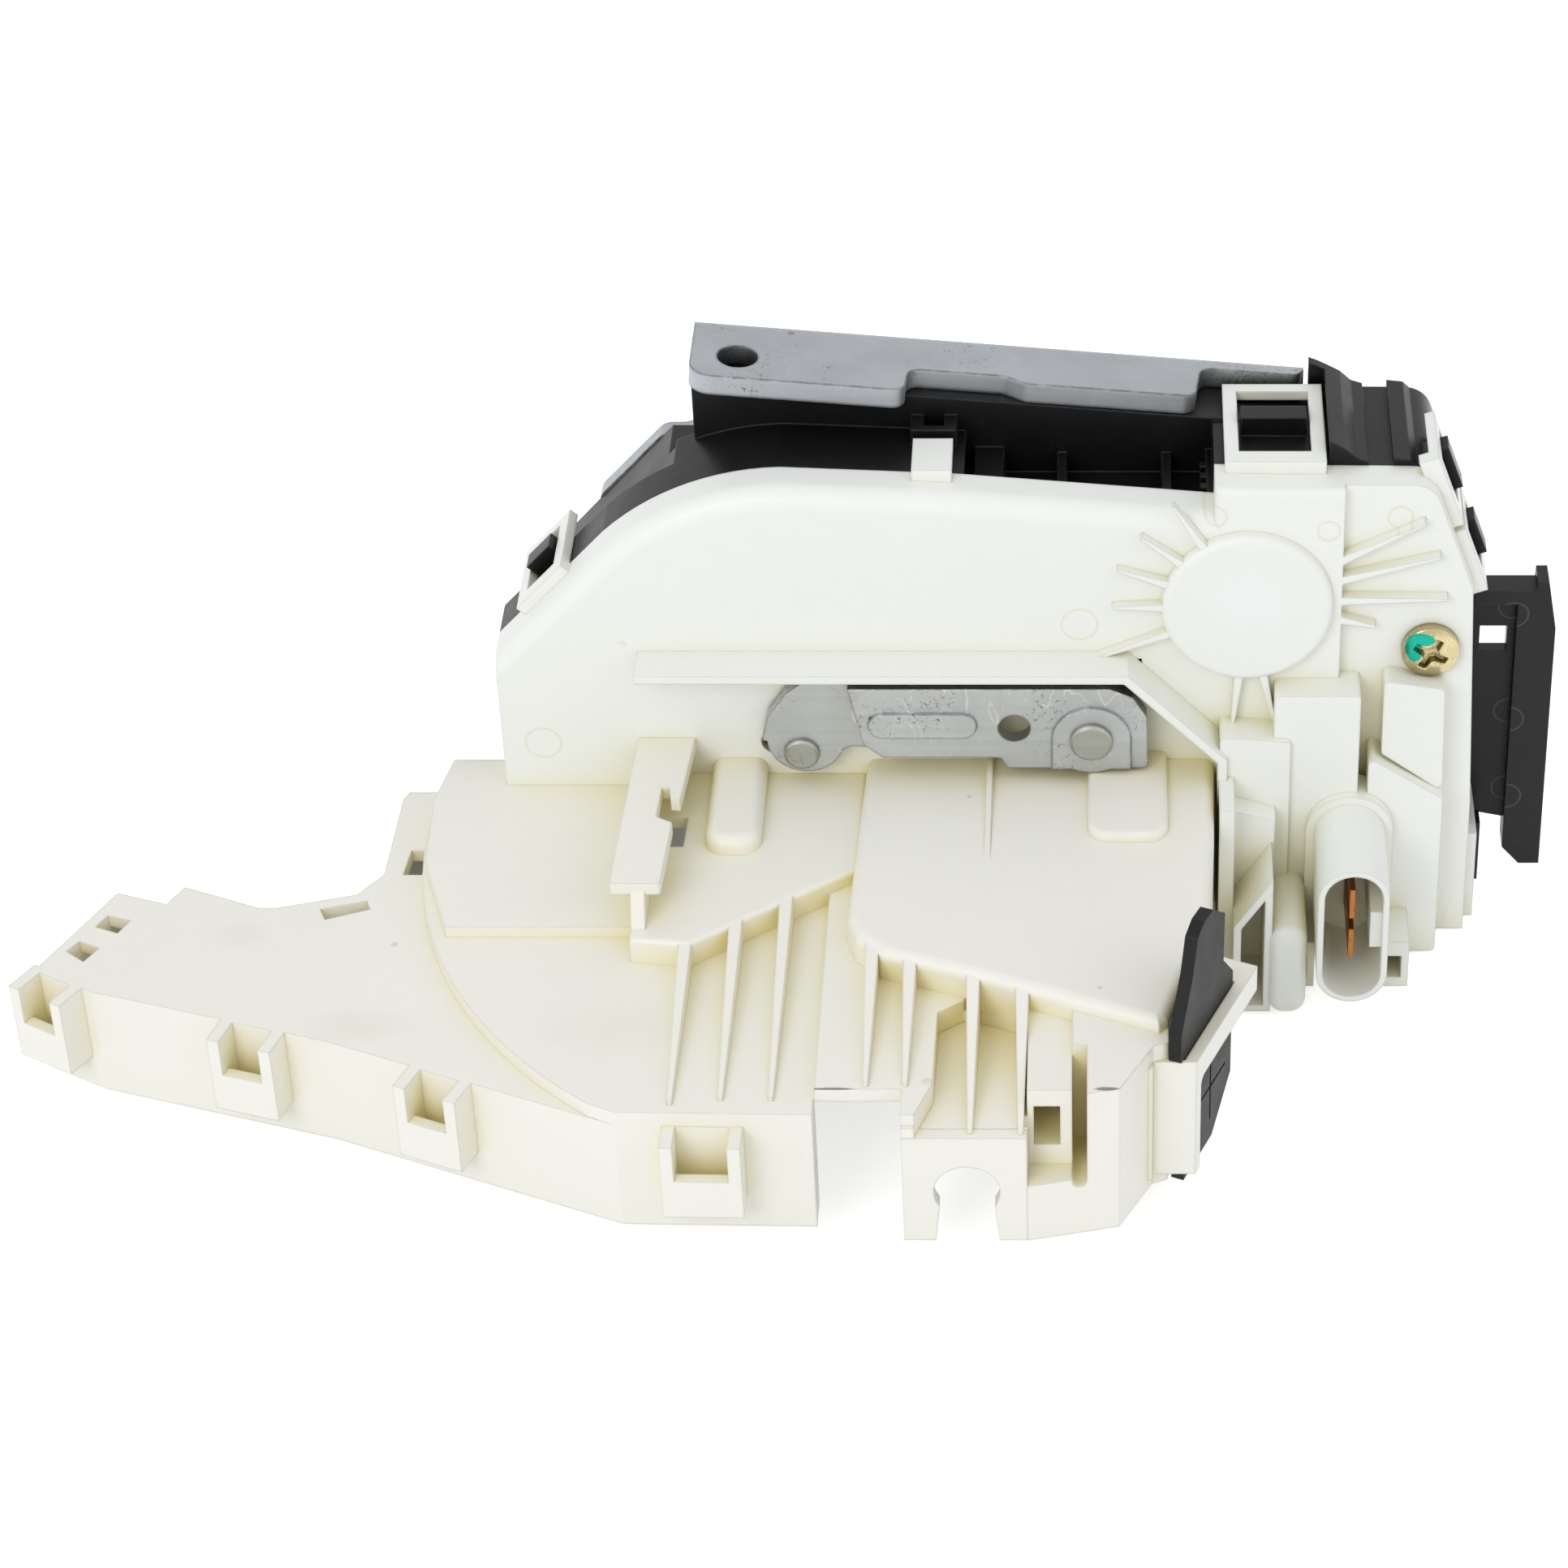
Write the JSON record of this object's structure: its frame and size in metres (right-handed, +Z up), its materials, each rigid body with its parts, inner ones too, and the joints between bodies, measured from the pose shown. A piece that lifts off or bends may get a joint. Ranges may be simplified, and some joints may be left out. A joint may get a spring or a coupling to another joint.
{
  "type": "door latch actuator",
  "caption": "Car door latch with electric lock drive: white cover and black housing, steel L-shaped face plate, sliding release link and a flat cream cable tray in front.",
  "frame": {"origin": "on the head's bottom face, under the middle of its latch half, in the plane of the housing's inner web", "axes": "+X across the latch to the right, +Y from the tray to the door's end face, +Z up"},
  "size_m": [0.2393, 0.1184, 0.098],
  "materials": {
    "cover_white": "moulded, slightly satin, off-white",
    "tray_cream": "moulded, satin, warm cream",
    "housing_black": "moulded, satin black",
    "seal_rubber": "moulded rubber, dull",
    "bumper_rubber": "moulded rubber, dull",
    "plate_steel": "rolled, zinc plated, light scratches",
    "latch_steel": "stamped, zinc plated",
    "pin_steel": "turned and headed",
    "spring_steel": "drawn wire, oiled",
    "screw_zinc": "yellow zinc plated",
    "blade_copper": "bright copper alloy",
    "worm_brass": "machined brass",
    "motor_can": "drawn, plated can",
    "gear_plastic": "natural acetal",
    "slider_plastic": "moulded, olive brown"
  },
  "bodies": {
    "housing": {"latch_housing": "housing_black", "latch_cover": "cover_white", "face_plate": "plate_steel", "plate_rivets": "pin_steel", "tray": "tray_cream", "clamp_plate": "tray_cream", "tray_screws": "screw_zinc", "side_bracket": "housing_black", "seal_plate": "seal_rubber", "cover_screw": "screw_zinc", "terminal_blades": "blade_copper", "terminal_carrier": "housing_black", "motor_case": "motor_can", "wheel_axle": "pin_steel", "catch_pin": "pin_steel", "cable_lever_pin": "pin_steel", "lock_pin": "pin_steel", "striker_bumper": "bumper_rubber", "ajar_switch": "housing_black", "catch_spring": "spring_steel", "pawl_spring": "spring_steel"},
    "catch": {"catch": "latch_steel", "throat_liner": "bumper_rubber"},
    "pawl": {"pawl": "latch_steel", "pawl_shaft": "pin_steel", "pawl_lever": "latch_steel"},
    "release_link": {"release_link": "latch_steel", "link_slider": "slider_plastic", "link_drive_rivet": "pin_steel", "link_guide_rivet": "pin_steel"},
    "cable_lever": {"cable_lever": "latch_steel"},
    "wheel": {"worm_wheel": "gear_plastic", "lock_pinion": "gear_plastic"},
    "lock_lever": {"lock_lever": "gear_plastic"},
    "worm": {"worm": "worm_brass", "motor_shaft": "pin_steel"}
  },
  "joints": [
    {"name": "catch_turn", "type": "hinge", "parent": "housing", "child": "catch", "pos_m": [0.016, 0.008, 0.069], "axis": [0, 1, 0], "range_deg": [0, 40], "stiffness_Nm_per_rad": 0.02, "springref_deg": -34.38, "deforming": ["catch_spring"]},
    {"name": "release_slide", "type": "slide", "parent": "housing", "child": "release_link", "axis": [-1, 0, 0], "range_m": [-0.001, 0.004], "stiffness_N_per_m": 400},
    {"name": "pawl_turn", "type": "hinge", "parent": "housing", "child": "pawl", "pos_m": [-0.0045, 0.008, 0.0493], "axis": [0, 1, 0], "range_deg": [-4.5, 17.5], "deforming": ["pawl_spring"]},
    {"name": "cable_lever_turn", "type": "hinge", "parent": "housing", "child": "cable_lever", "pos_m": [0.054, -0.034, 0.01725], "axis": [0, 0, 1], "range_deg": [-3.5, 13.8]},
    {"name": "wheel_turn", "type": "hinge", "parent": "housing", "child": "wheel", "pos_m": [0.0733, -0.0096, 0.0662], "axis": [0, -1, 0], "range_deg": [-90, 0]},
    {"name": "lock_lever_turn", "type": "hinge", "parent": "housing", "child": "lock_lever", "pos_m": [0.0436, -0.0061, 0.0588], "axis": [0, -1, 0], "range_deg": [0, 18]},
    {"name": "worm_spin", "type": "hinge", "parent": "housing", "child": "worm", "pos_m": [0.0868, -0.0096, 0.0662], "axis": [0, 0, -1], "range_deg": [-2160, 0]}
  ],
  "couplings": [
    {"joint": "pawl_turn", "follows": "release_slide", "rad_per_m": 75.9},
    {"joint": "cable_lever_turn", "follows": "release_slide", "rad_per_m": 59.9},
    {"joint": "lock_lever_turn", "follows": "wheel_turn", "ratio": -0.2},
    {"joint": "worm_spin", "follows": "wheel_turn", "ratio": 24}
  ]
}
